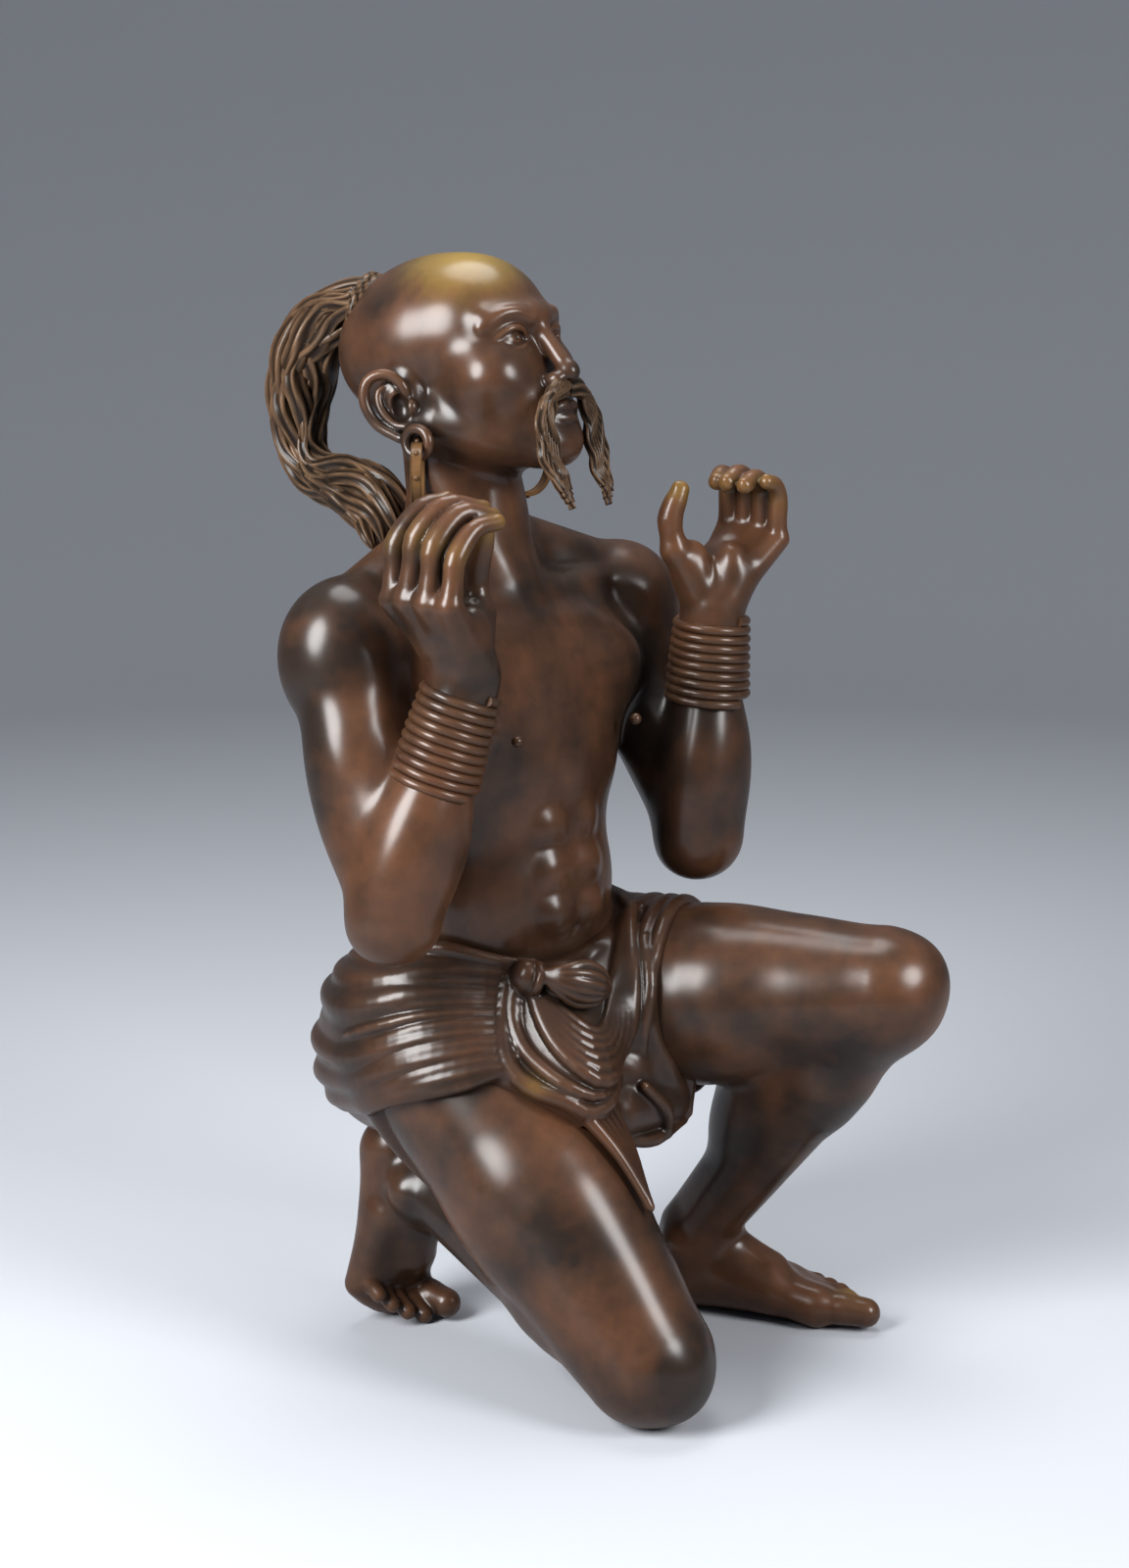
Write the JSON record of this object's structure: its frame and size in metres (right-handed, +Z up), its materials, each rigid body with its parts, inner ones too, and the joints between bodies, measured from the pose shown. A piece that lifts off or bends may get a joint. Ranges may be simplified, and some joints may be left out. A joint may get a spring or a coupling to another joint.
{
  "type": "kneeling rickshaw puller sculpture",
  "caption": "Cast bronze figure kneeling on one knee with both hands raised to grip shafts, bound queue, loincloth, bangles and ear hoops.",
  "frame": {"origin": "on the ground, in the middle of the whole figure's footprint box", "axes": "+Z up, the figure's front towards -Y, its left hand towards +X"},
  "size_m": [0.4632, 0.5522, 0.9193],
  "materials": {
    "patinated_bronze": "cast bronze with a dark red-brown patina, polished and waxed",
    "hoop_bronze": "bent bronze band with the same brown patina, less polished"
  },
  "bodies": {
    "root": {"figure": "patinated_bronze", "earring_right": "hoop_bronze", "earring_left": "hoop_bronze"}
  },
  "joints": []
}
